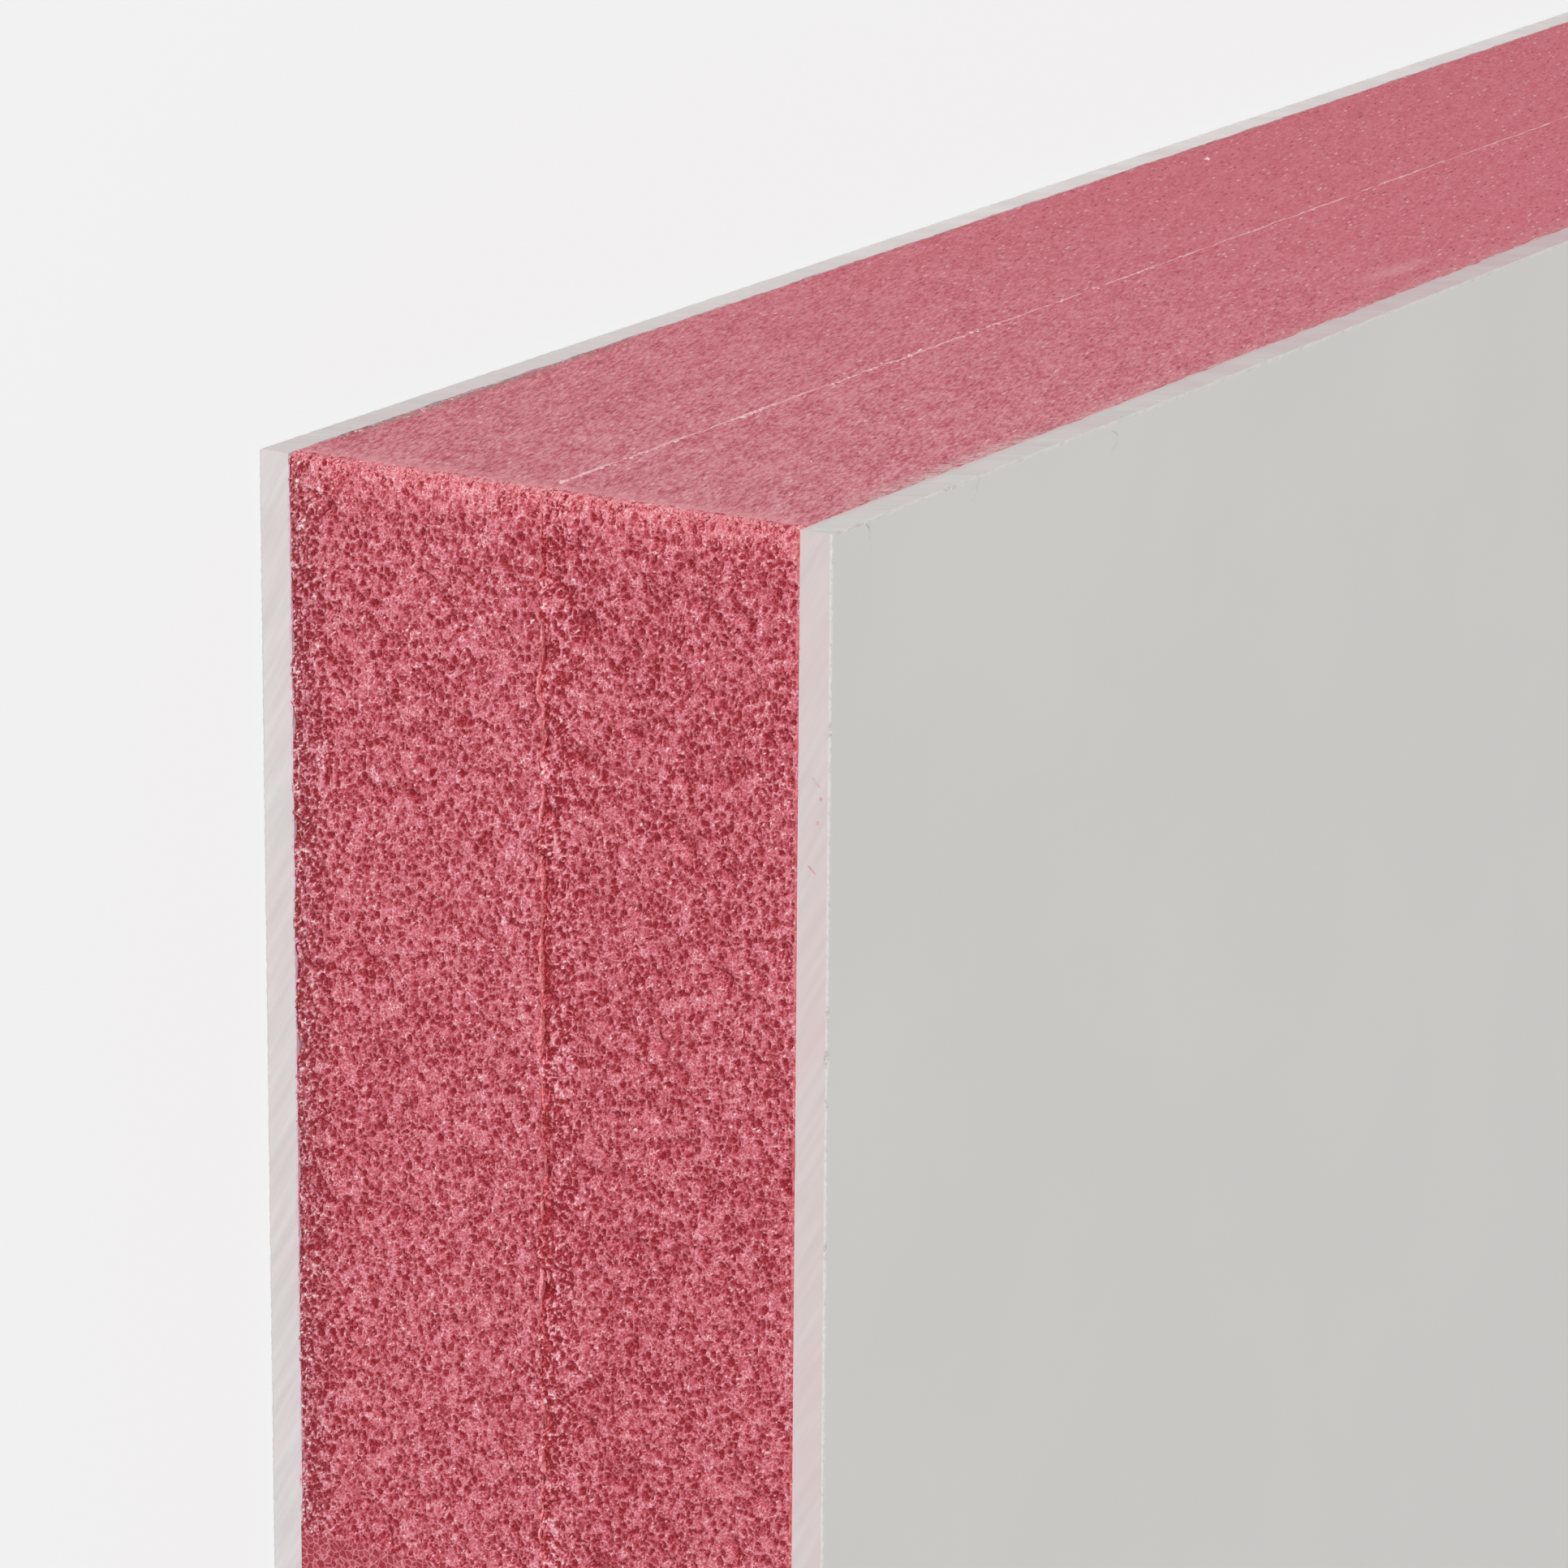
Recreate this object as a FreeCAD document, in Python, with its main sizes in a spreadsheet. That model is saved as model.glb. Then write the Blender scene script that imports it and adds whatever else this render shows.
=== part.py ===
import FreeCAD, Part
import os
import Sketcher

# Sandwich panel, lying flat: two hard PVC facing sheets bonded to a core of two foam boards.
# Millimetres, +Z up, +X along the panel. The origin is under the panel's centre, on the outer
# face of the lower facing sheet.

doc = FreeCAD.newDocument("sandwich_panel")


# Driving dimensions, one row each: name, value, meaning.
sizes = doc.addObject("Spreadsheet::Sheet", "Sizes")
driving_dimensions = [
    ("panel_length", 1000.0, "length of the panel as it is cut for sale"),
    ("panel_width", 500.0, "width of the panel as it is cut for sale"),
    ("facing_thickness", 1.5, "thickness of one PVC facing sheet"),
    ("board_thickness", 12.5, "thickness of one of the two foam boards of the core"),
    ("arris_break", 0.15, "leg of the small break on the facing sheets' outer edges"),
]
for row, (name, value, meaning) in enumerate(driving_dimensions, start=1):
    sizes.set(f"A{row}", name)
    sizes.set(f"B{row}", str(value))
    sizes.set(f"C{row}", meaning)
    sizes.setAlias(f"B{row}", name)
doc.recompute()


def origin_plane(body, role):
    """The body's own origin plane of that role."""
    return next(plane for plane in body.Origin.OriginFeatures if plane.Role == role)


def panel_outline(body):
    """The panel's rectangle as a sketch on the body's floor plane, centred on the origin."""
    outline = body.newObject("Sketcher::SketchObject", body.Name + "_outline")
    outline.AttachmentSupport = [(origin_plane(body, "XY_Plane"), "")]
    outline.MapMode = "FlatFace"
    half_length = sizes.panel_length / 2
    half_width = sizes.panel_width / 2
    corners = [
        FreeCAD.Vector(-half_length, -half_width, 0),
        FreeCAD.Vector(half_length, -half_width, 0),
        FreeCAD.Vector(half_length, half_width, 0),
        FreeCAD.Vector(-half_length, half_width, 0),
    ]
    next_side = [1, 2, 3, 0]
    for side, following in enumerate(next_side):
        outline.addGeometry(Part.LineSegment(corners[side], corners[following]), False)
    line_start, line_end, origin = 1, 2, (-1, 1)
    for side, following in enumerate(next_side):
        outline.addConstraint(Sketcher.Constraint("Coincident", side, line_end, following, line_start))
        direction = "Horizontal" if side % 2 == 0 else "Vertical"
        outline.addConstraint(Sketcher.Constraint(direction, side))
    front_side, right_side, rear_side = 0, 1, 2
    outline.addConstraint(
        Sketcher.Constraint("Symmetric", front_side, line_start, rear_side, line_start, *origin)
    )
    for name, side, cell in (("length", front_side, "panel_length"), ("width", right_side, "panel_width")):
        number = outline.addConstraint(Sketcher.Constraint("Distance", side, sizes.get(cell)))
        outline.renameConstraint(number, name)
        outline.setExpression(f"Constraints.{name}", f"Sizes.{cell}")
    return outline


def layer(name, thickness, level):
    """One flat layer of the panel: the outline padded to its thickness, lifted to its level."""
    body = doc.addObject("PartDesign::Body", name)
    body.Label = name
    pad = body.newObject("PartDesign::Pad", name + "_pad")
    pad.Profile = panel_outline(body)
    pad.setExpression("Length", thickness)
    body.Tip = pad
    body.setExpression("Placement.Base.z", level)
    doc.recompute()
    return body


def break_outer_arris(body, outward):
    """Breaks the four edges round the facing sheet's outer face, up for 1 and down for -1."""
    pad = body.Tip
    heights = [outward * face.CenterOfMass.z for face in pad.Shape.Faces]
    outer_face = f"Face{heights.index(max(heights)) + 1}"
    chamfer = body.newObject("PartDesign::Chamfer", body.Name + "_arris")
    chamfer.Base = (pad, [outer_face])
    chamfer.setExpression("Size", "Sizes.arris_break")
    body.Tip = chamfer
    doc.recompute()


# Lower facing: an extruded hard PVC sheet. Its outer face lies on the floor.
lower_sheet = layer("lower_pvc_sheet", "Sizes.facing_thickness", "0")
break_outer_arris(lower_sheet, -1)

# Core: two extruded foam boards of equal thickness, bonded face to face at mid height.
lower_board = layer("lower_foam_board", "Sizes.board_thickness", "Sizes.facing_thickness")
upper_board = layer(
    "upper_foam_board",
    "Sizes.board_thickness",
    "Sizes.facing_thickness + Sizes.board_thickness",
)

# Upper facing: the same sheet as the lower one, turned over so that its outer face looks up.
upper_sheet = layer(
    "upper_pvc_sheet",
    "Sizes.facing_thickness",
    "Sizes.facing_thickness + 2 * Sizes.board_thickness",
)
break_outer_arris(upper_sheet, 1)

doc.recompute()
layers = [lower_sheet, lower_board, upper_board, upper_sheet]
failed = [item.Name for item in doc.Objects if {"Invalid", "Error"} & set(item.State)]
broken = [body.Label for body in layers if body.Shape.isNull() or not body.Shape.isValid()]
if failed or broken:
    raise RuntimeError(f"these did not build: {failed + broken}")

os.makedirs("parts", exist_ok=True)
for body in layers:
    body.Shape.exportStep(f"parts/{body.Label}.step")
    box = body.Shape.BoundBox
    print(f"{body.Label}: z {box.ZMin:.2f} to {box.ZMax:.2f}, volume {body.Shape.Volume:.0f}")
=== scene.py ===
import math
import random

import bmesh
import bpy
from mathutils import Euler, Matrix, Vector, noise


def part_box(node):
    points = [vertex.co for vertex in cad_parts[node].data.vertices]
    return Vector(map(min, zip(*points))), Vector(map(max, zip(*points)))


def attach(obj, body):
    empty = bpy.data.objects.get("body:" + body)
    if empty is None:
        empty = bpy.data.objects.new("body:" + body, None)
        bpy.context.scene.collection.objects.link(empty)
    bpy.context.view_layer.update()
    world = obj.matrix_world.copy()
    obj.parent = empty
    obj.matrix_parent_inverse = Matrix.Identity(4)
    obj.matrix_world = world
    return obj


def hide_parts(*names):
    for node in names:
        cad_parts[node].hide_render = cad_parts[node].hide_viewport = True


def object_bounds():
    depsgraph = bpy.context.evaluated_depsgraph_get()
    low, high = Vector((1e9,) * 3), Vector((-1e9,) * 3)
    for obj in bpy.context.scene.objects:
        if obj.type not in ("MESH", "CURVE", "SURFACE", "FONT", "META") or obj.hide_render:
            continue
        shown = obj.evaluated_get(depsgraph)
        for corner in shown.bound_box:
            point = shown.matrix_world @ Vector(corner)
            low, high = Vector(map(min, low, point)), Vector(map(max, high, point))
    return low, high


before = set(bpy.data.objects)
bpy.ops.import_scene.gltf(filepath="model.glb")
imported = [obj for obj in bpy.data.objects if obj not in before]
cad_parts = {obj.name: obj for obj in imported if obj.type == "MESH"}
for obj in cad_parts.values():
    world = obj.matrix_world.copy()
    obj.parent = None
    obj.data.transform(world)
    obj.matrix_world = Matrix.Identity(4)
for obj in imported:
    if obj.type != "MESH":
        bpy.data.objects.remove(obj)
cad_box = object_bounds()


# Lower facing sheet: hard white PVC, extruded through a wide die, which leaves its faces satin and even.
# It is bonded under the core. The saw that cut the panel left slanting marks across its edges, dragged
# some pink foam dust over them and broke the outer arris very slightly.
mm = 0.001
touch = 0.001 * mm
seen_end = 60 * mm
seen_side = 140 * mm
end_cuts = 420
side_cuts = 420
sheet_white = (0.728, 0.706, 0.686)
sheet_mottle = (0.714, 0.693, 0.673)
mottle_size = 14 * mm
peel_size = 1.1 * mm
peel_depth = 0.006 * mm
lower_end_white = (0.755, 0.748, 0.737)
lower_side_white = (0.755, 0.734, 0.714)
lower_side_far = (0.86, 0.835, 0.825)
far_range = (-492 * mm, -440 * mm)
far_share = 0.8
sawn_shade = 0.88
saw_mark_spacing = 0.36 * mm
saw_mark_length = 14
saw_mark_depth = 0.02 * mm
saw_mark_slant = 60
dust_pink = (0.70, 0.56, 0.56)
dust_smear_size = 1.6 * mm
dust_smear_length = 4
rubbed_pink = (0.72, 0.46, 0.47)
rubbed_reach = 0.55 * mm
dirt_tan = (0.46, 0.40, 0.35)
dirt_patch = 0.12 * mm
worn_dirt = 0.7
arris_round = 0.10 * mm
arris_wobble = 0.015 * mm


def new_finish(name, roughness, specular):
    """A material whose shader has its plain numbers set, and the Object coordinates its pattern reads."""
    finish = bpy.data.materials.new(name)
    finish.use_nodes = True
    shader = finish.node_tree.nodes["Principled BSDF"]
    shader.inputs["Roughness"].default_value = roughness
    shader.inputs["Specular IOR Level"].default_value = specular
    where = finish.node_tree.nodes.new("ShaderNodeTexCoord").outputs["Object"]
    return finish, shader, where


def add_node(finish, kind, joined, **settings):
    """A shader node with its settings, its inputs joined to sockets or set to plain values."""
    node = finish.node_tree.nodes.new("ShaderNode" + kind)
    for name, value in settings.items():
        setattr(node, name, value)
    for name, value in joined.items():
        if isinstance(value, bpy.types.NodeSocket):
            finish.node_tree.links.new(value, node.inputs[name])
        else:
            node.inputs[name].default_value = value
    return node


def drawn_out(finish, where, turn, length):
    """Coordinates in which a pattern is drawn out by that factor along the turned Z axis."""
    angles = [math.radians(angle) for angle in turn]
    joined = {"Vector": where, "Rotation": angles, "Scale": (1, 1, length)}
    return add_node(finish, "Mapping", joined, vector_type="TEXTURE").outputs[0]


def grain(finish, where, size, detail=2.0, rough=0.5):
    """Cloudy grain of about that size, from 0 to 1."""
    joined = {"Vector": where, "Scale": 1 / size, "Detail": detail, "Roughness": rough}
    return add_node(finish, "TexNoise", joined).outputs["Fac"]


def spread(finish, value, low, high, to_low=0.0, to_high=1.0):
    """The value stretched from one range to another, and held inside it."""
    limits = {"Value": value, "From Min": low, "From Max": high, "To Min": to_low, "To Max": to_high}
    return add_node(finish, "MapRange", limits).outputs["Result"]


def sums(finish, operation, first, second):
    """Two values put together by a plain sum."""
    return add_node(finish, "Math", {0: first, 1: second}, operation=operation).outputs[0]


def blended(finish, share, first, second, how="MIX"):
    """Two colours mixed by a share from 0 to 1."""
    node = add_node(finish, "Mix", {}, data_type="RGBA", blend_type=how)
    for socket, value in ((node.inputs[0], share), (node.inputs[6], first), (node.inputs[7], second)):
        if isinstance(value, bpy.types.NodeSocket):
            finish.node_tree.links.new(value, socket)
        else:
            socket.default_value = (*value, 1.0)
    return node.outputs[2]


def coloured(finish, shader, colour):
    """Gives the shader its colour."""
    finish.node_tree.links.new(colour, shader.inputs["Base Color"])


def relief(finish, shader, height, depth, strength=1.0):
    """Bump of that depth in metres from a height of 0 to 1."""
    bump = add_node(finish, "Bump", {"Height": height, "Distance": depth, "Strength": strength})
    finish.node_tree.links.new(bump.outputs["Normal"], shader.inputs["Normal"])


def satin_face():
    """Extruded PVC: satin, with faint broad mottling and a very fine orange peel."""
    finish, shader, where = new_finish("satin_white_pvc", roughness=0.42, specular=0.35)
    mottle = spread(finish, grain(finish, where, mottle_size, 3.0), 0.35, 0.65)
    coloured(finish, shader, blended(finish, mottle, sheet_mottle, sheet_white))
    relief(finish, shader, grain(finish, where, peel_size), peel_depth, 0.5)
    return finish


def sawn_edge(name, turn, white, least_dust, most_dust, far_colour=None, inner=None):
    """Sawn PVC edge: fine slanting tooth marks, their darker stripes painted shade, and broad smears of pink
    dust, duller than the faces. Foam is rubbed into the marks along the inner level, and a long edge may take
    another colour far from the end."""
    finish, shader, where = new_finish(name, roughness=0.55, specular=0.3)
    # Painted shade: a shaded copy of the white for the marks' darker stripes.
    shade = [level * sawn_shade for level in white]
    marks = grain(finish, drawn_out(finish, where, turn, saw_mark_length), saw_mark_spacing)
    base = blended(finish, spread(finish, marks, 0.3, 0.7), shade, white)
    smears = grain(finish, drawn_out(finish, where, turn, dust_smear_length), dust_smear_size)
    dust = spread(finish, smears, 0.3, 0.7, least_dust, most_dust)
    place = add_node(finish, "SeparateXYZ", {"Vector": where}).outputs
    colour = blended(finish, dust, base, dust_pink)
    if inner:
        rubbed = spread(finish, place["Z"], inner, inner + rubbed_reach, 0.55, -0.25)
        rubbed = sums(finish, "ADD", rubbed, spread(finish, marks, 0.3, 0.7, -0.35, 0.35))
        colour = blended(finish, spread(finish, rubbed, 0.1, 0.9, 0.0, 0.7), colour, rubbed_pink)
    if far_colour:
        far = spread(finish, place["X"], *far_range, 0.0, far_share)
        far = sums(finish, "MULTIPLY", far, spread(finish, smears, 0.35, 0.65, 0.55, 1.25))
        colour = blended(finish, far, colour, far_colour)
    coloured(finish, shader, colour)
    relief(finish, shader, marks, saw_mark_depth, 0.6)
    return finish


def worn_arris():
    """The rounded arris: white like the faces, with small tan marks where dirt has caught on it."""
    finish, shader, where = new_finish("worn_pvc_arris", roughness=0.5, specular=0.3)
    dirt = add_node(finish, "Attribute", {}, attribute_name="arris_dirt").outputs["Fac"]
    patchy = spread(finish, grain(finish, where, dirt_patch), 0.35, 0.6)
    caught = sums(finish, "MULTIPLY", dirt, patchy)
    coloured(finish, shader, blended(finish, caught, sheet_mottle, dirt_tan))
    return finish


def piece_from(bm, name, finishes):
    """The finished mesh as a piece of the panel, with its materials, riding on the panel."""
    mesh = bpy.data.meshes.new(name)
    bm.to_mesh(mesh)
    bm.free()
    for finish in finishes:
        mesh.materials.append(finish)
    piece = bpy.data.objects.new(name, mesh)
    bpy.context.scene.collection.objects.link(piece)
    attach(piece, "root")
    return piece


def box_of(node):
    """A closed box of the CAD node's size, in its place."""
    low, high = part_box(node)
    bm = bmesh.new()
    bmesh.ops.create_cube(bm, size=1.0)
    bmesh.ops.scale(bm, vec=high - low, verts=bm.verts)
    bmesh.ops.translate(bm, vec=(low + high) / 2, verts=bm.verts)
    return bm, low, high


def cut_across(bm, place, direction):
    """Cuts the whole mesh by a plane, leaving both sides joined."""
    everything = bm.verts[:] + bm.edges[:] + bm.faces[:]
    bmesh.ops.bisect_plane(bm, geom=everything, plane_co=place, plane_no=direction)


def cloud(across, along, size, layer):
    """Smooth chance from about -1 to 1 over a surface, with patches of about that size."""
    return noise.noise(Vector((across / size, along / size, layer * 3.7)))


def clouds(across, along, layers, seed):
    """Clouds laid over each other, each row a strength, a patch size and a number that sets it apart."""
    return sum(strength * cloud(across, along, size, seed + number) for strength, size, number in layers)


def between(edges, low, high):
    """The edges whose both ends lie between the two corners."""

    def inside(place):
        return all(low[axis] - touch < place[axis] < high[axis] + touch for axis in range(3))

    return [edge for edge in edges if all(inside(vert.co) for vert in edge.verts)]


def facing_sheet(name, node, outward, seed, finishes, dirtiness, worn_spots=()):
    """A facing sheet, its outer arris rounded and a little uneven at the seen corner. Outward is 1 or -1."""
    draw = random.Random(seed)
    bm, low, high = box_of(node)
    dirt = bm.verts.layers.float.new("arris_dirt")
    outer = high.z if outward > 0 else low.z
    cut_across(bm, (low.x + seen_side, 0, 0), (1, 0, 0))
    cut_across(bm, (0, high.y - seen_end, 0), (0, 1, 0))
    at_end = between(bm.edges, (low.x, high.y - seen_end, outer), (low.x, high.y, outer))
    at_side = between(bm.edges, (low.x, high.y, outer), (low.x + seen_side, high.y, outer))
    bmesh.ops.subdivide_edges(bm, edges=at_end, cuts=end_cuts)
    bmesh.ops.subdivide_edges(bm, edges=at_side, cuts=side_cuts)
    arris = [
        edge
        for edge in between(bm.edges, (low.x, low.y, outer), (high.x, high.y, outer))
        if any(abs(face.normal.z) < 0.5 for face in edge.link_faces)
    ]
    bmesh.ops.bevel(bm, geom=arris, offset=arris_round, affect="EDGES", segments=2, profile=0.5, material=-1)
    for face in bm.faces:
        if abs(face.normal.x) > 0.99:
            face.material_index = 1
        elif abs(face.normal.y) > 0.99:
            face.material_index = 2
        elif abs(face.normal.z) < 0.99:
            face.material_index = 3
    edge_reach = arris_round + touch
    for vert in bm.verts:
        from_end = vert.co.x - low.x
        from_side = high.y - vert.co.y
        from_face = abs(vert.co.z - outer)
        if from_face > edge_reach or from_end > seen_side - touch or from_side > seen_end - touch:
            continue
        by_end = from_end < edge_reach < from_side
        by_side = from_side < edge_reach < from_end
        if not by_end and not by_side:
            continue
        step = draw.uniform(-1, 1) * arris_wobble
        vert[dirt] = dirtiness * max(0.0, draw.uniform(-0.7, 1))
        for on_end, place, width, depth in worn_spots:
            apart = abs((from_side if by_end else from_end) - place)
            if by_end == on_end and apart < width:
                step += depth * (1 - apart / width)
                vert[dirt] = worn_dirt
        if from_face > touch:
            vert.co.z -= outward * step
        if by_end and from_end > touch:
            vert.co.x += step
        if by_side and from_side > touch:
            vert.co.y -= step
    sheet = piece_from(bm, name, finishes)
    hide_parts(node)


end_slant = (-saw_mark_slant, 0, 0)
side_slant = (0, 90 - saw_mark_slant, 0)
satin_pvc = satin_face()
arris_pvc = worn_arris()
lower_finishes = [
    satin_pvc,
    sawn_edge("sawn_lower_pvc_end", end_slant, lower_end_white, least_dust=0.0, most_dust=0.3),
    sawn_edge(
        "sawn_lower_pvc_side", side_slant, lower_side_white, least_dust=0.0, most_dust=0.3,
        far_colour=lower_side_far,
    ),
    arris_pvc,
]
facing_sheet(
    "lower_facing_sheet", "lower_pvc_sheet", outward=-1, seed=3, finishes=lower_finishes, dirtiness=0.3
)


# Lower glue film: the glue that holds the lower sheet to the foam, dried to a thin pale skin. On the sawn
# end its edge shows as a fine lilac line between the white sheet and the torn foam.
lower_film_thickness = 0.11 * mm
lower_film_pale = (0.82, 0.68, 0.74)
lower_film_pink = (0.74, 0.52, 0.58)
residue_dark = (0.24, 0.19, 0.17)
residue_pink = (0.67, 0.40, 0.46)
film_grain = 0.3 * mm
film_relief = 0.05 * mm
film_corner = 0.5 * mm
film_proud = Vector((0.005, 0.005, 0)) * mm
film_side_start = 1.4 * mm
near_side = 32 * mm


def film_finish(name, first, second, roughness):
    """Dried glue: smooth, its colour a little uneven."""
    finish, shader, where = new_finish(name, roughness, specular=0.1)
    uneven = grain(finish, where, film_grain, 3.0)
    coloured(finish, shader, blended(finish, spread(finish, uneven, 0.35, 0.65), first, second))
    relief(finish, shader, uneven, film_relief, 0.5)
    return finish


def glue_film(
    name, level, thickness, finishes, seed, recess, uneven, ragged=0.7, wander=None, swelling=1.0, lumps=()
):
    """A film across the whole panel at that level. On the seen end its edge stands back by the recess and may
    wander up and down. On the seen side it is flush and swollen, most in lumps at those distances."""
    low = cad_box[0] - film_proud
    high = cad_box[1] + film_proud
    bm = bmesh.new()
    bmesh.ops.create_cube(bm, size=1.0)
    bmesh.ops.scale(bm, vec=(high.x - low.x, high.y - low.y, thickness), verts=bm.verts)
    bmesh.ops.translate(bm, vec=((low.x + high.x) / 2, (low.y + high.y) / 2, level), verts=bm.verts)
    bottom, top = level - thickness, level + thickness
    corner = between(bm.edges, (low.x, high.y, bottom), (low.x, high.y, top))
    bmesh.ops.bevel(bm, geom=corner, offset=film_corner, affect="EDGES", segments=4, profile=0.5, material=-1)
    cut_across(bm, (0, high.y - seen_end, 0), (0, 1, 0))
    cut_across(bm, (low.x + seen_side, 0, 0), (1, 0, 0))
    at_end = between(bm.edges, (low.x, high.y - seen_end, bottom), (low.x, high.y, top))
    at_end = [edge for edge in at_end if abs(edge.verts[0].co.y - edge.verts[1].co.y) > touch]
    bmesh.ops.subdivide_edges(bm, edges=at_end, cuts=end_cuts)
    cut_across(bm, (low.x + near_side, 0, 0), (1, 0, 0))
    for start, stop in ((0, near_side), (near_side, seen_side)):
        at_side = between(bm.edges, (low.x + start, high.y, bottom), (low.x + stop, high.y, top))
        at_side = [edge for edge in at_side if abs(edge.verts[0].co.x - edge.verts[1].co.x) > touch]
        bmesh.ops.subdivide_edges(bm, edges=at_side, cuts=side_cuts)
    for face in bm.faces:
        face.material_index = 1 if abs(face.normal.y) > 0.9 else 2 if abs(face.normal.z) < 0.5 else 0
    for vert in bm.verts:
        x, y, z = vert.co
        half = z - level
        if x < low.x + touch and y > high.y - seen_end + touch:
            back = 0.7 * cloud(y, 0, 1.6 * mm, seed) + 0.4 * cloud(y, z, 0.3 * mm, seed + 1)
            vert.co.x += recess + uneven * back
            vert.co.z += half * ragged * cloud(y, 0, 0.4 * mm, seed + (4 if half > 0 else 3))
            if wander:
                vert.co.z += wander(y)
        elif y > high.y - touch and x < low.x + seen_side - touch:
            along = x - low.x
            edge_seed = seed + (9 if half > 0 else 10)
            swell = 0.5 + 0.8 * cloud(x, 0, 3.0 * mm, seed + 5) + 1.2 * cloud(x, 0, 0.7 * mm, edge_seed)
            for place, width in lumps:
                swell += 0.6 * max(0.0, 1 - abs(along - place) / width)
            growth = min(1.0, max(0.1, (along - film_side_start) / mm))
            swell = swelling * min(1.4, max(0.05, swell)) * growth
            vert.co.y += (0.012 + 0.02 * cloud(x, 0, 1.5 * mm, seed + 7)) * mm
            vert.co.z = level + half * swell + 0.10 * mm * cloud(x, 0, 2.0 * mm, seed + 8)
    piece_from(bm, name, finishes)


lower_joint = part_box("lower_foam_board")[0].z
lower_film = film_finish("lower_glue_film", lower_film_pink, lower_film_pale, roughness=0.5)
lower_residue = film_finish("lower_glue_residue", residue_dark, residue_pink, roughness=0.6)
glue_film(
    "lower_glue_film", lower_joint, lower_film_thickness, [lower_film, lower_residue, lower_film],
    seed=61, recess=0.01 * mm, uneven=0.04 * mm, lumps=[(14 * mm, 16 * mm)],
)


# Foam boards: two pink extruded foam boards make the core. The long sides are sanded fine. The saw tore
# the ends, so there the foam shows its open cells: a pale web of struts round pits, some still closed by a
# thin skin. The pits' deep red and the darker tears are painted shade, drawn in the colour as well as set
# back. The torn surface near the seen corner is modelled cell by cell.
torn_reach = 48.5 * mm
torn_rows = 4
row_cuts = 153
cell_size = 0.30 * mm
cell_stretch = 1.18
small_cell_size = 0.15 * mm
cell_warp = 0.45
cell_warp_seed = 12
strut_share = 0.06
pit_slope = 0.24
pit_depth = 0.05
pit_depth_spread = 0.09
small_pit_depth = 0.04
pit_shade = 0.37
pit_shade_spread = 0.33
small_pit_shade = 0.23
closed_share = 0.16
closed_depth = 0.3
painted_glint_share = 0.007
torn_waves = [(0.08, 2.4 * mm, 3), (0.05, 0.9 * mm, 4), (0.03, 0.3 * mm, 9)]
tone_waves = [(0.13, 0.22 * mm, 10), (0.04, 0.8 * mm, 11)]
seam_waves = [(0.24, 2.2 * mm, 99), (0.10, 0.6 * mm, 98)]
seam_pull = 1.2 * mm
tear_size = 1.1 * mm
tear_from = 0.34
tear_depth = 0.75
tear_shade = 0.6
trench_width = 0.6 * mm
trench_wave = 0.5
trench_wave_size = 1.2 * mm
belt_width = 2.2 * mm
belt_contrast = 1.6
belt_middle = 0.45
arris_fringe = 2.0 * mm
arris_radius = 0.4 * mm
arris_tone = 0.76
arris_painted_light = 0.11
arris_evening = 0.15
fold_start = 1.2 * mm
torn_over = 0.25 * mm
over_waves = [(1.3, 0.6 * mm, 0), (0.6, 0.25 * mm, 0)]
thread_spacing = 0.16 * mm
thread_bend = 0.16 * mm
thread_break = 0.3 * mm
shred_size = 0.09 * mm
plain_patch = 0.5 * mm
plain_depth = 0.08 * mm
# Torn foam colours: the deep reds of pits and walls are painted shade; the white at the top is crumbs and
# painted glints.
shaded_pit_red = (0.27, 0.018, 0.027)
shaded_wall_red = (0.43, 0.062, 0.083)
skin_pink = (0.615, 0.142, 0.180)
strut_pink = (0.78, 0.290, 0.342)
strut_pale = (0.87, 0.410, 0.460)
crumb_and_glint_white = (0.92, 0.76, 0.76)
glow_coral = (1.10, 1.03, 1.00)
dusty_tint = (0.90, 1.20, 1.15)
sanding_slant = (0, 105, 0)
sanding_length = 3.8
sanded_grain_size = 0.20 * mm
sanded_patch_size = 0.6 * mm
sanded_relief_size = 0.35 * mm
sanded_relief_depth = 0.14 * mm
sanded_pit_shade = (0.36, 0.055, 0.085)
sanded_dark = (0.49, 0.085, 0.120)
sanded_pink = (0.685, 0.222, 0.266)
sanded_pale = (0.82, 0.37, 0.41)
sanded_deep = (0.672, 0.164, 0.213)
deep_range = (-490 * mm, -430 * mm)
speck_spacing = 0.22 * mm
dust_and_glint_pale = (0.93, 0.62, 0.63)
dragged_white = (0.76, 0.64, 0.63)
dragged_size = 0.2 * mm
dragged_height = (25.2 * mm, 26.4 * mm)
dragged_start = (-498 * mm, -492 * mm)
dragged_stop = (-478 * mm, -484 * mm)
residue_grey = (0.34, 0.25, 0.23)
residue_size = 0.16 * mm
residue_height = (2.3 * mm, 1.7 * mm)
residue_start = (-496 * mm, -493 * mm)
residue_stop = (-470 * mm, -478 * mm)
smear_pink = (0.80, 0.36, 0.39)
smear_shape = {"Location": (-440.5 * mm, 250 * mm, 24.0 * mm), "Scale": (4.5 * mm, 1.0, 0.9 * mm)}
arris_glow_pink = (0.86, 0.37, 0.41)
fringe_size = 0.4 * mm
fringe_rag = 2 * mm
fringe_range = (-499.4 * mm, -498.0 * mm)
film_hollow_shade = (0.58, 0.075, 0.10)
film_coral = (0.90, 0.27, 0.31)
film_lump_highlight = (0.96, 0.50, 0.54)
film_lump = 0.13 * mm
film_lump_depth = 0.04 * mm


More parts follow.
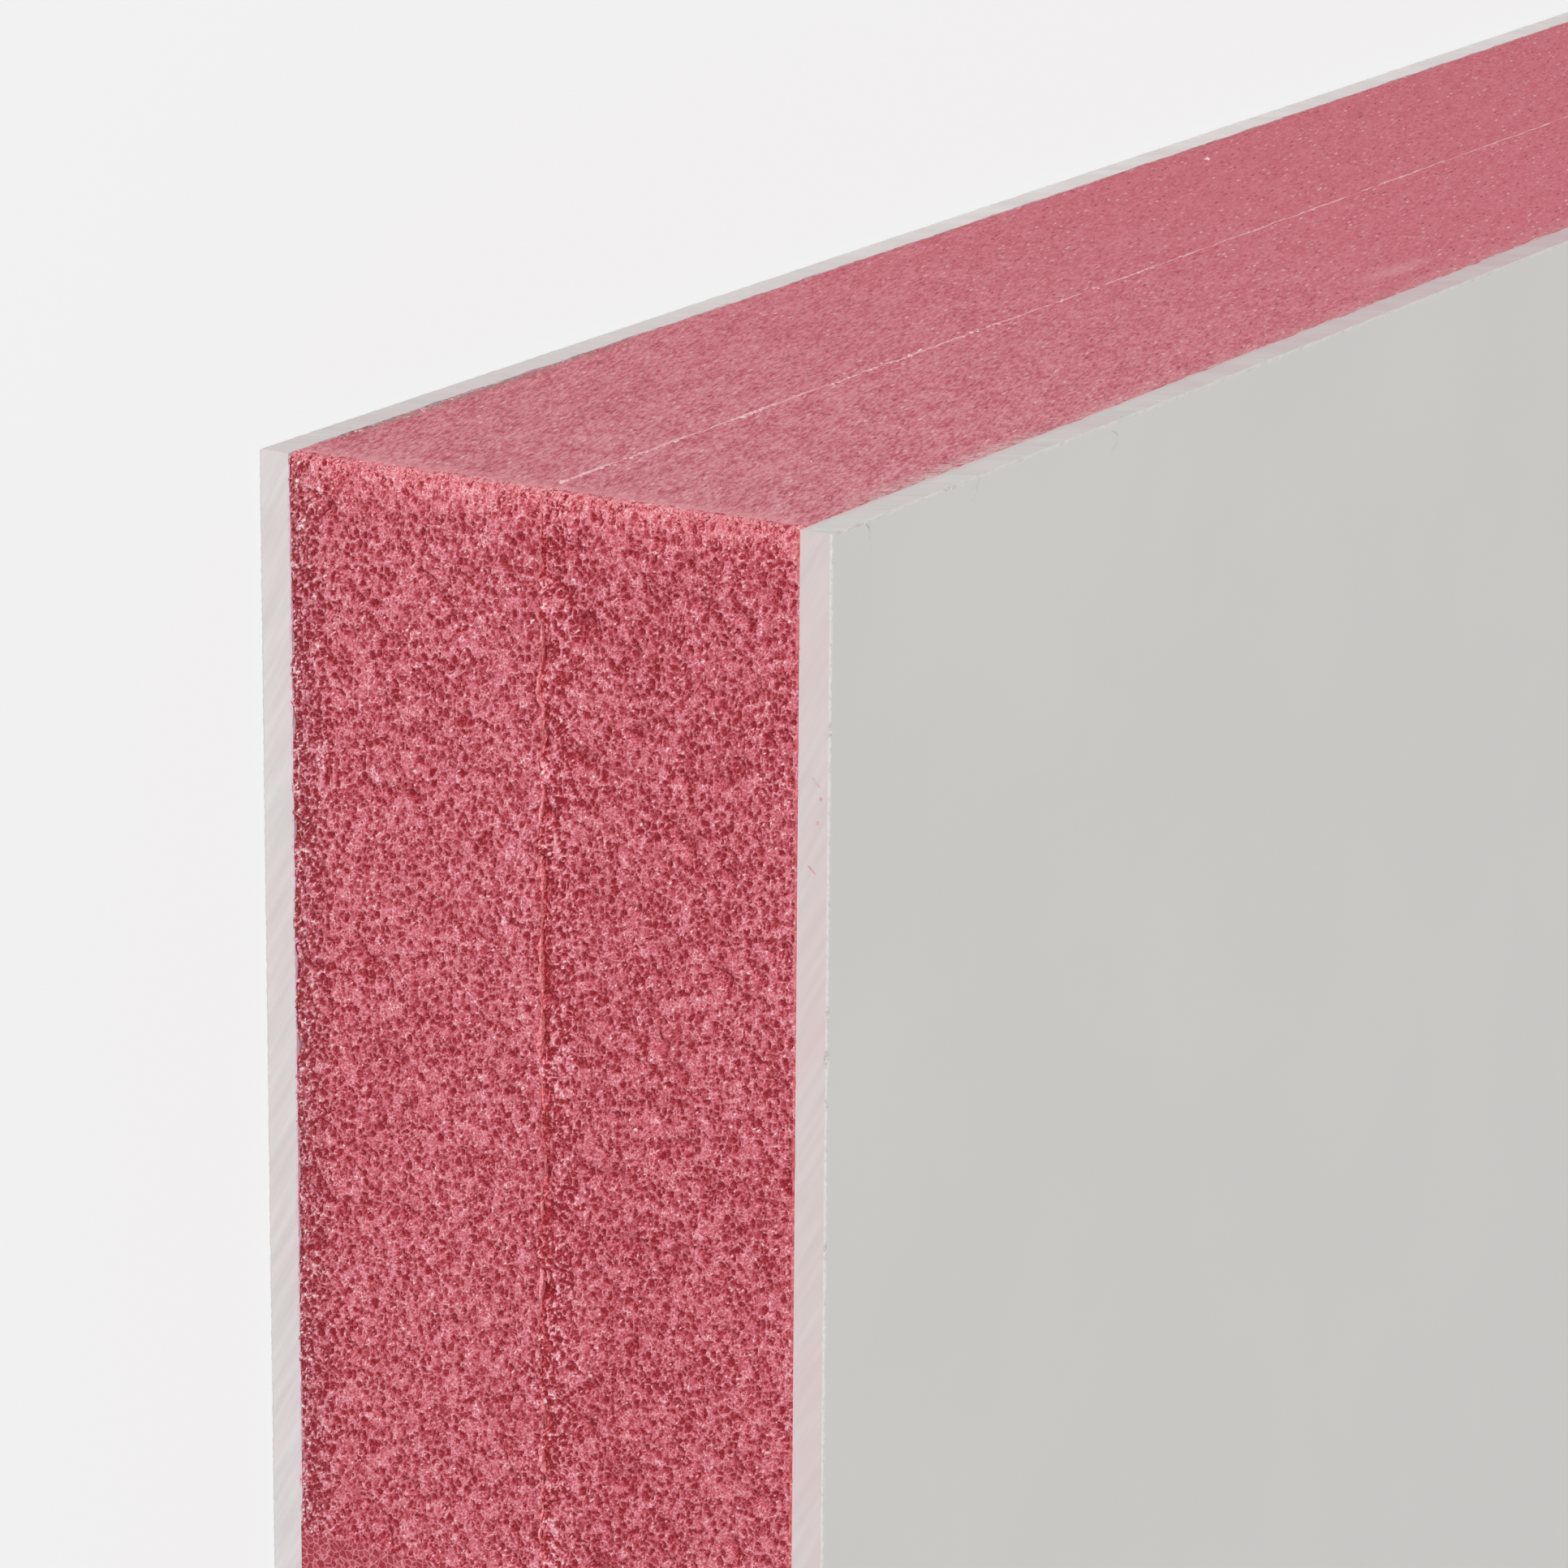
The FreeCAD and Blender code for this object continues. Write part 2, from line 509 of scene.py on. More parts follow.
def colour_steps(finish, value, steps):
    """A colour that goes through the steps, each a place from 0 to 1 and its colour."""
    ramp = add_node(finish, "ValToRGB", {"Fac": value})
    marks = ramp.color_ramp.elements
    for mark, (place, colour) in zip(marks, (steps[0], steps[-1])):
        mark.position = place
        mark.color = (*colour, 1)
    for place, colour in steps[1:-1]:
        marks.new(place).color = (*colour, 1)
    return ramp.outputs["Color"]


def torn_colour(finish, tone):
    """The torn foam's colour: deep red painted shade in pits, pale pink struts, and painted white glints."""
    steps = [
        (0.0, shaded_pit_red),
        (0.25, shaded_wall_red),
        (0.5, skin_pink),
        (0.72, strut_pink),
        (0.88, strut_pale),
        (1.0, crumb_and_glint_white),
    ]
    return colour_steps(finish, tone, steps)


def torn_cells_finish():
    """Torn foam, coloured by each place's tone with its painted shade and glints, and warmed by a painted
    coral glow, with shreds too small to model.
    """
    finish, shader, where = new_finish("torn_foam_cells", roughness=0.55, specular=0.06)
    tone = add_node(finish, "Attribute", {}, attribute_name="cell_tone_and_shading").outputs["Fac"]
    shift = add_node(finish, "TexNoise", {"Vector": where, "Scale": 1 / thread_spacing}).outputs["Color"]
    bends = {0: shift, 1: (thread_bend, thread_bend, thread_bend), 2: where}
    bent = add_node(finish, "VectorMath", bends, operation="MULTIPLY_ADD").outputs["Vector"]
    joined = {"Vector": bent, "Scale": 1 / thread_spacing}
    web = add_node(finish, "TexVoronoi", joined, feature="DISTANCE_TO_EDGE")
    threads = spread(finish, web.outputs["Distance"], 0.02, 0.18, 0.18, -0.09)
    broken = spread(finish, grain(finish, where, thread_break, 3.0), 0.36, 0.64, 0.2, 1.8)
    threads = sums(finish, "MULTIPLY", threads, broken)
    shreds = spread(finish, grain(finish, where, shred_size, 2.0, 0.6), 0.3, 0.7, -0.20, 0.20)
    tone = sums(finish, "ADD", sums(finish, "ADD", tone, threads), shreds)
    # Painted light: the colour is pushed towards a coral glow brighter than the foam's own colour.
    painted_glow = add_node(finish, "Attribute", {}, attribute_name="cell_painted_glow").outputs["Fac"]
    colour = blended(finish, painted_glow, torn_colour(finish, tone), glow_coral, "MULTIPLY")
    height = add_node(finish, "SeparateXYZ", {"Vector": where}).outputs["Z"]
    dusty = spread(finish, height, lower_joint, lower_joint + belt_width, 0.9, 0.0)
    coloured(finish, shader, blended(finish, dusty, colour, dusty_tint, "MULTIPLY"))
    return finish


def torn_plain_finish():
    """The same torn foam further from the seen corner: the material draws its cells, with painted shade
    inside.
    """
    finish, shader, where = new_finish("torn_foam", roughness=0.6, specular=0.06)
    joined = {"Vector": where, "Scale": 1 / cell_size}
    web = add_node(finish, "TexVoronoi", joined, feature="DISTANCE_TO_EDGE")
    strut = spread(finish, web.outputs["Distance"], 0.02, 0.16)
    patchy = spread(finish, grain(finish, where, plain_patch, 3.0, 0.7), 0.3, 0.7, 0.02, 0.42)
    tone = sums(finish, "ADD", spread(finish, strut, 0.0, 1.0, 0.45, 0.0), patchy)
    coloured(finish, shader, torn_colour(finish, tone))
    relief(finish, shader, strut, -plain_depth, 0.6)
    return finish


def sanded_finish():
    """Sanded foam: fine dark grains of painted shade in the sanding pits, pale specks of dust and painted
    glints, dust dragged off the upper sheet, glue residue by the lower one, and painted light along the torn
    arris."""
    finish, shader, where = new_finish("sanded_foam", roughness=0.8, specular=0.2)
    place = add_node(finish, "SeparateXYZ", {"Vector": where}).outputs
    along = drawn_out(finish, where, sanding_slant, sanding_length)
    fine = grain(finish, along, sanded_grain_size, 3.0, 0.9)
    patchy = spread(finish, grain(finish, along, sanded_patch_size, 1.0), 0.3, 0.7, -0.045, 0.045)
    rough = sums(finish, "ADD", fine, patchy)
    steps = [(0.37, sanded_dark), (0.50, sanded_pink), (0.63, sanded_pale)]
    colour = colour_steps(finish, rough, steps)
    deep = spread(finish, place["X"], *deep_range, 0.0, 0.6)
    colour = blended(finish, deep, colour, sanded_deep)
    dots = add_node(finish, "TexVoronoi", {"Vector": along, "Scale": 1 / speck_spacing}, feature="F1")
    near = spread(finish, dots.outputs["Distance"], 0.40, 0.15)
    chosen = add_node(finish, "SeparateColor", {"Color": dots.outputs["Color"]}).outputs
    # Painted shade: dark dots in the sanding pits.
    pit_shade_dots = sums(finish, "MULTIPLY", near, spread(finish, chosen["Red"], 0.30, 0.10, 0.0, 0.8))
    colour = blended(finish, pit_shade_dots, colour, sanded_pit_shade)
    # Pale specks: dust and painted glints.
    speck = sums(finish, "MULTIPLY", near, spread(finish, chosen["Red"], 0.70, 1.0, 0.0, 0.72))
    colour = blended(finish, speck, colour, dust_and_glint_pale)
    smeared = drawn_out(finish, where, side_slant, dust_smear_length)
    streaks = grain(finish, smeared, dragged_size, 4.0, 0.7)
    by_sheet = spread(finish, place["Z"], *dragged_height)
    dragged = sums(finish, "MULTIPLY", spread(finish, streaks, 0.42, 0.6), by_sheet)
    begins = spread(finish, place["X"], *dragged_start)
    ends = spread(finish, place["X"], *dragged_stop, 0.25, 0.9)
    dragged = sums(finish, "MULTIPLY", dragged, sums(finish, "MULTIPLY", begins, ends))
    colour = blended(finish, dragged, colour, dragged_white)
    blots = spread(finish, grain(finish, along, residue_size, 3.0, 0.7), 0.46, 0.58)
    by_sheet = spread(finish, place["Z"], *residue_height, 0.0, 0.9)
    residue = sums(finish, "MULTIPLY", blots, by_sheet)
    begins = spread(finish, place["X"], *residue_start)
    ends = spread(finish, place["X"], *residue_stop)
    residue = sums(finish, "MULTIPLY", residue, sums(finish, "MULTIPLY", begins, ends))
    colour = blended(finish, residue, colour, residue_grey)
    smear = add_node(finish, "Mapping", smear_shape | {"Vector": where}, vector_type="TEXTURE").outputs[0]
    smear = add_node(finish, "VectorMath", {0: smear}, operation="LENGTH").outputs["Value"]
    colour = blended(finish, spread(finish, smear, 1.0, 0.2, 0.0, 0.55), colour, smear_pink)
    # Painted light: a paler pink band along the torn arris, its edge ragged.
    ragged = sums(finish, "SUBTRACT", grain(finish, where, fringe_size, 3.0), 0.5)
    ragged = sums(finish, "MULTIPLY", ragged, fringe_rag)
    fringe = spread(finish, sums(finish, "ADD", place["X"], ragged), *fringe_range, 0.6, 0.0)
    coloured(finish, shader, blended(finish, fringe, colour, arris_glow_pink))
    relief(finish, shader, grain(finish, where, sanded_relief_size, 3.0, 0.7), sanded_relief_depth)
    return finish


def torn_film_finish(name):
    """Torn glue: lumpy coral, with painted dark red shade in its hollows and painted pale highlights on its
    lumps.
    """
    finish, shader, where = new_finish(name, roughness=0.7, specular=0.04)
    lumpy = grain(finish, where, film_lump, 4.0, 0.65)
    steps = [(0.36, film_hollow_shade), (0.48, film_coral), (0.62, film_lump_highlight)]
    coloured(finish, shader, colour_steps(finish, lumpy, steps))
    relief(finish, shader, lumpy, film_lump_depth, 0.8)
    return finish


def in_order(items):
    """The mesh's own order, so that every run draws the same chances."""
    return sorted(items, key=lambda item: item.index)


def torn_faces(bm, high):
    """The faces of the finely modelled part of the end at -X."""
    end = [face for face in bm.faces if face.normal.x < -0.9]
    return [face for face in end if face.calc_center_median().y > high.y - torn_reach]


def torn_grid(bm, high):
    """Divides the seen part of the end into a fine grid, and returns its faces."""
    row_height = torn_reach / torn_rows
    for row in range(1, torn_rows + 1):
        cut_across(bm, (0, high.y - row * row_height, 0), (0, 1, 0))
    bm.edges.index_update()
    edges = {edge for face in torn_faces(bm, high) for edge in face.edges}
    bmesh.ops.subdivide_edges(bm, edges=in_order(edges), cuts=row_cuts, use_grid_fill=True)
    return torn_faces(bm, high)


def eased(value, low, high):
    """0 below the low value, 1 above the high one, and a smooth step between them."""
    share = min(1.0, max(0.0, (value - low) / (high - low)))
    return share * share * (3 - 2 * share)


def in_cell(y, z, size, seed):
    """Where a place lies in its foam cell, from 0 on a strut to 1 in the open, and the cell's own chance."""
    place = Vector((y / cell_stretch, z, 0)) / size
    place += cell_warp * noise.noise_vector(place * 0.6)
    place.z += seed
    distances, middles = noise.voronoi(place)
    strut = strut_share * (1 + noise.noise(place * 1.7))
    chance = 0.5 + 0.5 * noise.cell(9.7 * middles[0])
    return eased(distances[1] - distances[0], strut, strut + pit_slope), chance


core_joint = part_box("upper_foam_board")[0].z


def seam_wander(y):
    """How far the joint between the boards strays up or down at that place along the end."""
    return clouds(y, 0, seam_waves, 0) * mm


def over_side(z, seed):
    """How far the torn surface reaches over the long side at that height."""
    return torn_over * max(0.1, 1 + clouds(z, 0, over_waves, seed))


def fold_over(vert, low, high, seed):
    """Carries a torn point near the arris round its curve and a little way over the long side."""
    share = 1 - (high.y - vert.co.y) / fold_start
    if share <= 0:
        return
    depth = min(vert.co.x - low.x, 0.8 * arris_radius) * (1 - share ** 2)
    flat = fold_start - arris_radius
    bend = arris_radius * math.pi / 2
    along = share * (flat + bend + over_side(vert.co.z, seed))
    if along < flat:
        vert.co.y = high.y - fold_start + along
    elif along < flat + bend:
        angle = (along - flat) / arris_radius
        vert.co.x = low.x + arris_radius - (arris_radius - depth) * math.cos(angle)
        vert.co.y = high.y - arris_radius + (arris_radius - depth) * math.sin(angle)
    else:
        vert.co.x = low.x + arris_radius + along - flat - bend
        vert.co.y = high.y - depth


def foam_board(
    name, node, seed, web_tone, belt_shade, flecks=0.0, trench_depth=0.0, joint_glow=0.0, top_glow=0.0
):
    """A foam board whose seen end is torn open cell by cell, deepest along the joint under it and darkest
    there in painted shade.
    """
    draw = random.Random(seed)
    bm, low, high = box_of(node)
    bm.verts.layers.float.new("cell_tone_and_shading")
    bm.verts.layers.float.new("cell_painted_glow")
    tone = bm.verts.layers.float["cell_tone_and_shading"]
    painted_glow = bm.verts.layers.float["cell_painted_glow"]
    for face in bm.faces:
        face.material_index = 1 if abs(face.normal.x) > 0.9 else 2 if abs(face.normal.y) > 0.9 else 3
    torn = torn_grid(bm, high)
    for face in torn:
        face.material_index = 0
        face.smooth = True
    bm.verts.index_update()
    for vert in in_order({vert for face in torn for vert in face.verts}):
        y, z = vert.co.y, vert.co.z
        room = min(1.0, (y - high.y + torn_reach) / mm)
        fall = max(0.0, 1 - (high.y - y) / arris_fringe)
        opened, chance = in_cell(y, z, cell_size, seed)
        small, small_chance = in_cell(y, z, small_cell_size, seed + 40)
        if chance < closed_share:
            opened *= closed_depth
        small *= (1 - opened) * eased(small_chance, 0.3, 0.5)
        waves = clouds(y, z, torn_waves, seed)
        tear = max(0.0, cloud(y, z, tear_size, seed + 5) - tear_from) * tear_depth
        by_joint = max(0.0, 1 - (z - low.z) / trench_width)
        trench = trench_depth + trench_wave * cloud(y, 0, trench_wave_size, seed + 6)
        tear += by_joint * max(0.0, trench)
        pit = opened * (pit_depth + pit_depth_spread * chance) + small_pit_depth * small
        vert.co.x += (waves + pit + tear * (1 - 0.6 * fall)) * room * mm
        vert.co.z += seam_wander(y) * max(0.0, 1 - abs(z - core_joint) / seam_pull) * room
        shade = web_tone + clouds(y, z, tone_waves, seed)
        # Painted shade: pits, tears and the trench by the joint are darkened in tone as well as set back.
        painted_pit_shade = opened * (pit_shade + pit_shade_spread * chance) + small_pit_shade * small
        shade -= painted_pit_shade + tear_shade * tear
        # Painted shade: by the sheet under the board the foam is darkened and its contrast raised.
        by_sheet = max(0.0, 1 - (z - low.z) / belt_width)
        shade += belt_contrast * by_sheet * (shade - belt_middle) - belt_shade * by_sheet
        shade += top_glow * max(0.0, 1 - (high.z - z) / trench_width)
        # Painted highlights: a few places are set almost white as glints; by the lower sheet the same draw
        # sets pale dust flecks.
        if draw.random() < painted_glint_share + flecks * by_sheet ** 8:
            shade = draw.uniform(0.95, 1.1)
        # Painted light: by the arris the tone is raised and evened.
        vert[tone] = max(0.0, shade + fall * (arris_painted_light + arris_evening * (arris_tone - shade)))
        # Painted light: a coral glow by the arris and in the trench by the joint, where light shines through
        # thin foam.
        vert[painted_glow] = max(fall, 0.9 * by_joint * joint_glow)
        fold_over(vert, low, high, seed + 7)
    board = piece_from(bm, name, [torn_cells, torn_plain, sanded, glued])
    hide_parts(node)


noise.seed_set(cell_warp_seed)
torn_cells = torn_cells_finish()
torn_plain = torn_plain_finish()
sanded = sanded_finish()
glued = torn_film_finish("glued_foam")
foam_board("lower_core_board", "lower_foam_board", seed=11, web_tone=0.64, belt_shade=0.225, flecks=0.15)


# Core glue film: the glue between the two boards, which soaked into the foam and dried red. On the torn end
# it tore into lumps and stands a little back between the struts. On the sanded sides it is a pale broken
# line. The upper board follows it, since it lies on this film.
core_film_thickness = 0.095 * mm
core_film_seed = 41
film_pale = (0.85, 0.58, 0.59)
side_lumps = [(4.2 * mm, 1.9 * mm), (17 * mm, 3.6 * mm)]
core_film_torn = torn_film_finish("core_glue_film_torn")
core_film_sanded = film_finish("core_glue_film_sanded", sanded_pale, film_pale, roughness=0.6)
core_finishes = [core_film_torn, core_film_sanded, core_film_torn]
glue_film(
    "core_glue_film", core_joint, core_film_thickness, core_finishes, core_film_seed,
    recess=0.18 * mm, uneven=0.45 * mm, ragged=1.8, wander=seam_wander, swelling=1.8, lumps=side_lumps,
)
foam_board(
    "upper_core_board", "upper_foam_board", seed=23, web_tone=0.607, belt_shade=0.04,
    trench_depth=0.12, joint_glow=1.0, top_glow=0.05,
)


# Upper glue film: more glue was spread under the upper sheet than under the lower one, and it dried red. Its
# edge shows on the sawn end as a smooth coral band between the foam and the white sheet.
upper_film_thickness = 0.14 * mm
upper_film_red = (0.52, 0.065, 0.075)
upper_film_coral = (0.76, 0.235, 0.255)
upper_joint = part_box("upper_pvc_sheet")[0].z
upper_film = film_finish("upper_glue_film", upper_film_red, upper_film_coral, roughness=0.45)
upper_film_level = upper_joint - upper_film_thickness / 2
glue_film(
    "upper_glue_film", upper_film_level, upper_film_thickness, [upper_film, sanded, upper_film],
    seed=83, recess=0.03 * mm, uneven=0.14 * mm,
)


# Upper facing sheet: the same PVC as the lower one, bonded on top with its satin face outward. More foam
# dust was dragged over its edges, and the saw nicked its outer arris in a few places.
upper_end_white = (0.703, 0.657, 0.645)
upper_side_white = (0.714, 0.700, 0.678)
upper_side_far = (0.63, 0.475, 0.49)
upper_finishes = [
    satin_pvc,
    sawn_edge("sawn_upper_pvc_end", end_slant, upper_end_white, least_dust=0.15, most_dust=0.75),
    sawn_edge(
        "sawn_upper_pvc_side", side_slant, upper_side_white, least_dust=-0.15, most_dust=0.35,
        far_colour=upper_side_far, inner=upper_joint,
    ),
    arris_pvc,
]
upper_worn_spots = [
    (True, 20.2 * mm, 0.3 * mm, 0.04 * mm),
    (True, 22.2 * mm, 0.45 * mm, 0.10 * mm),
    (True, 24.1 * mm, 0.25 * mm, 0.04 * mm),
    (True, 8.2 * mm, 0.3 * mm, 0.03 * mm),
    (True, 30.5 * mm, 0.3 * mm, 0.04 * mm),
    (False, 0.45 * mm, 0.3 * mm, 0.05 * mm),
    (False, 2.1 * mm, 0.25 * mm, 0.04 * mm),
    (False, 9.6 * mm, 0.4 * mm, 0.03 * mm),
]
facing_sheet(
    "upper_facing_sheet", "upper_pvc_sheet", outward=1, seed=5, finishes=upper_finishes, dirtiness=0.5,
    worn_spots=upper_worn_spots,
)


# Burr: a paper-thin ragged fringe of PVC that the saw dragged from the upper sheet's inner arris over the
# foam, in teeth that slant the way the saw went.
burr_length = 70 * mm
burr_start = 1.5 * mm
burr_steps = 900
burr_reach = 0.07 * mm
burr_thickness = 0.03 * mm
burr_slant = 0.58
burr_waves = [(1.3, 1.4 * mm, 0), (1.1, 0.4 * mm, 1)]
burr_white = (0.70, 0.62, 0.61)
burr_pink = (0.72, 0.43, 0.44)


def dragged_burr(name, level, seed):
    """A thin fringe on the seen side, hanging from that level, its lower outline ragged and slanting."""
    low, high = cad_box
    bm = bmesh.new()
    bmesh.ops.create_cube(bm, size=1.0)
    bmesh.ops.scale(bm, vec=(burr_length, burr_thickness, burr_reach), verts=bm.verts)
    middle = low.x + burr_start + burr_length / 2
    bmesh.ops.translate(bm, vec=(middle, high.y, level - burr_reach / 2), verts=bm.verts)
    lengthwise = [edge for edge in bm.edges if abs(edge.verts[0].co.x - edge.verts[1].co.x) > touch]
    bmesh.ops.subdivide_edges(bm, edges=lengthwise, cuts=burr_steps)
    for vert in bm.verts:
        if vert.co.z > level - touch:
            continue
        hang = 0.7 + clouds(vert.co.x, 0, burr_waves, seed)
        hang = burr_reach * min(2.4, max(0.05, hang))
        vert.co.z = level - hang
        vert.co.x -= burr_slant * hang
    finish = film_finish("dragged_burr", burr_white, burr_pink, roughness=0.55)
    piece_from(bm, name, [finish])


dragged_burr("upper_sheet_burr", upper_joint, seed=71)


# Tufts: torn cell walls that stand up like fluff along the arris between the torn end and the sanded side.
# Each is a small crumpled flake of the same foam, with patches of painted pale highlight.
tuft_count = 1100
tuft_seed = 19
tuft_size = (0.10, 0.26)
tuft_pink = (0.78, 0.23, 0.265)
tuft_highlight_pale = (0.93, 0.42, 0.45)


def tufts(name):
    """The fluff along the seen arris: small crumpled flakes at all angles."""
    draw = random.Random(tuft_seed)
    low, high = cad_box
    bm = bmesh.new()
    for _ in range(tuft_count):
        down = draw.uniform(-0.35, 1.3) * draw.random()
        z = draw.uniform(lower_joint + 0.1 * mm, upper_joint - 0.2 * mm)
        place = Vector((low.x + 0.08 * mm, high.y - down * mm, z))
        if down < 0:
            place = Vector((low.x + (0.2 - down) * mm, high.y - 0.03 * mm, z))
        turned = Euler([draw.uniform(0, math.tau) for _ in range(3)]).to_matrix()
        shape = Vector((draw.uniform(0.2, 0.5), draw.uniform(0.7, 1.5), draw.uniform(0.4, 0.8)))
        radius = draw.uniform(*tuft_size) * mm / 2
        made = bmesh.ops.create_icosphere(bm, subdivisions=1, radius=radius)["verts"]
        for vert in made:
            vert.co = turned @ (vert.co * shape * draw.uniform(0.7, 1.3)) + place
    for face in bm.faces:
        face.smooth = True
    finish = film_finish("foam_tufts", tuft_pink, tuft_highlight_pale, roughness=0.5)
    piece_from(bm, name, [finish])


tufts("torn_tufts")


# Saw litter: crumbs of foam, swarf and dirt that stuck to the cut edges, and four fine threads of PVC swarf
# still hanging from the upper sheet's arris.
litter_seed = 7
stain_pink = (0.63, 0.28, 0.34)
stain_tan = (0.71, 0.50, 0.43)
scratch_grey = (0.58, 0.51, 0.51)
pale_kind, stain_kind, residue_kind, scratch_kind = range(4)
pale_bits = [
    ((-500.0, 234.51, 14.49), 0.30),
    ((-500.0, 210.16, 14.24), 0.26),
    ((-500.0, 209.62, 2.08), 0.26),
    ((-500.0, 211.76, 16.53), 0.20),
    ((-500.0, 223.15, 18.74), 0.24),
    ((-420.6, 250.0, 3.57), 0.40),
    ((-491.3, 250.0, 12.2), 0.14),
    ((-489.5, 250.0, 20.8), 0.12),
]
stains = [
    ((-500.0, 239.56, 27.36), 0.75, -42, scratch_kind),
    ((-500.0, 238.90, 27.59), 0.16, 0, stain_kind),
    ((-500.0, 237.87, 27.44), 0.20, 0, stain_kind),
    ((-500.0, 235.85, 27.17), 0.60, -50, stain_kind),
]
residue_bits = 170
residue_bit_size = (0.08, 0.22)
residue_bit_kinds = (pale_kind, residue_kind, residue_kind, residue_kind, residue_kind)
residue_from = (-496.5, 249.95, 1.62)
residue_to = (-474.0, 249.95, 1.62)
seam_bits = 420
seam_bit_size = (0.06, 0.20)
seam_bits_start = 1.6 * mm
seam_bits_reach = 80 * mm
thread_radius = 0.018 * mm
thread_sides = 6
thread_cuts = 11
thread_grey = (0.56, 0.55, 0.53)
threads = [
    [(-497.05, 249.86), (-497.04, 249.51), (-497.00, 249.16), (-496.96, 248.81)],
    [(-497.31, 249.92), (-497.20, 249.78), (-497.10, 249.68), (-497.04, 249.60)],
    [(-487.92, 249.94), (-488.03, 249.80), (-488.25, 249.49), (-488.62, 249.15)],
    [
        (-476.36, 249.68), (-475.96, 249.53), (-475.77, 249.34),
        (-475.80, 249.12), (-476.00, 248.97), (-476.32, 248.83),
    ],
]


def crumb(bm, place, size, draw, slimness, turn, kind, stretch=1.0):
    """One small lumpy bit, its width a share of its length, turned about the panel's length and stretched
    along it. Place and size are in millimetres."""
    made = bmesh.ops.create_icosphere(bm, subdivisions=1, radius=size * mm / 2)["verts"]
    turned = Euler((math.radians(turn), 0, 0)).to_matrix()
    shape = Vector((slimness * stretch, 1, slimness))
    for vert in made:
        lumps = draw.uniform(0.75, 1.15)
        vert.co = turned @ (vert.co * shape * lumps) + Vector(place) * mm
    for face in {face for vert in made for face in vert.link_faces}:
        face.material_index = kind


def swarf_thread(name, path):
    """A fine tube lying on the upper face, bent along the path."""
    steps = len(path) - 1
    bm = bmesh.new()
    bmesh.ops.create_cone(
        bm, cap_ends=True, segments=thread_sides, radius1=thread_radius, radius2=thread_radius, depth=1.0
    )
    lengthwise = [edge for edge in bm.edges if edge.calc_length() > 0.9]
    bmesh.ops.subdivide_edges(bm, edges=lengthwise, cuts=thread_cuts)
    for vert in bm.verts:
        spot = min(0.9999, max(0.0, vert.co.z + 0.5)) * steps
        first, second = Vector(path[int(spot)]), Vector(path[int(spot) + 1])
        at = first.lerp(second, spot - int(spot)) * mm
        aside = (second - first).orthogonal().normalized() * vert.co.x
        vert.co = Vector((at.x + aside.x, at.y + aside.y, upper_face + 0.6 * thread_radius + vert.co.y))
    bmesh.ops.recalc_face_normals(bm, faces=bm.faces)
    piece_from(bm, name, [swarf])


draw = random.Random(litter_seed)
upper_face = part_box("upper_pvc_sheet")[1].z
litter_finishes = [
    film_finish("pale_crumb", crumb_and_glint_white, strut_pale, roughness=0.6),
    film_finish("stain", stain_pink, stain_tan, roughness=0.6),
    film_finish("residue_crumb", residue_grey, dirt_tan, roughness=0.7),
    film_finish("scratch", scratch_grey, dust_pink, roughness=0.6),
]
swarf = film_finish("pvc_swarf", thread_grey, sheet_mottle, roughness=0.5)
bm = bmesh.new()
for place, size in pale_bits:
    crumb(bm, place, size, draw, 0.7, draw.uniform(0, 180), pale_kind)
for place, size, turn, kind in stains:
    crumb(bm, place, size, draw, 0.15 if turn else 0.8, turn, kind)
for _ in range(residue_bits):
    place = Vector(residue_from).lerp(Vector(residue_to), draw.random() ** 1.2)
    place.z += draw.uniform(-0.10, 0.50) * draw.random()
    size = draw.uniform(*residue_bit_size)
    kind = draw.choice(residue_bit_kinds)
    crumb(bm, place, size, draw, draw.uniform(0.5, 1.0), draw.uniform(-30, 30), kind, draw.uniform(1.0, 3.5))
for _ in range(seam_bits):
    along = seam_bits_start + draw.random() ** 1.5 * seam_bits_reach
    density = 0.45 + 0.9 * cloud(along, 0, 3.0 * mm, core_film_seed + 5)
    for place, width in side_lumps:
        density += 0.6 * max(0.0, 1 - abs(along - place) / width)
    if draw.random() > density:
        continue
    place = Vector((cad_box[0].x + along, cad_box[1].y, core_joint + draw.gauss(0, 0.07) * mm)) / mm
    size = draw.uniform(*seam_bit_size)
    crumb(bm, place, size, draw, 0.5, draw.uniform(60, 120), pale_kind, draw.uniform(1.5, 5.0))
piece_from(bm, "saw_litter", litter_finishes)
for number, path in enumerate(threads, start=1):
    swarf_thread(f"swarf_thread_{number}", path)


# Studio: a plain pale floor, an even pale room and one large soft lamp on the seen corner's side. Floor and
# room are shown brighter than they light the panel.
white = (1, 1, 1, 1)
background = 0.888
room_light = 0.64
floor_grey = 0.8
floor_glow = 0.80
floor_shade = 0.11
floor_size = 80.0
lamp_power = 13.437
lamp_width = 1.6
lamp_height = 0.8
lamp_distance = 1.6
lamp_direction = Vector((-0.8042, 0.4850, 0.3437)).normalized()
panel_corner = Vector((-0.5, 0.25, 0.014))


def seen_directly(owner):
    """1 for rays from the camera, mirrors and glass, 0 for the light that falls on the panel."""
    path = add_node(owner, "LightPath", {}).outputs
    total = path["Is Camera Ray"]
    for name in ("Is Glossy Ray", "Is Transmission Ray"):
        joined = {0: total, 1: path[name]}
        total = add_node(owner, "Math", joined, operation="ADD", use_clamp=True).outputs[0]
    return total


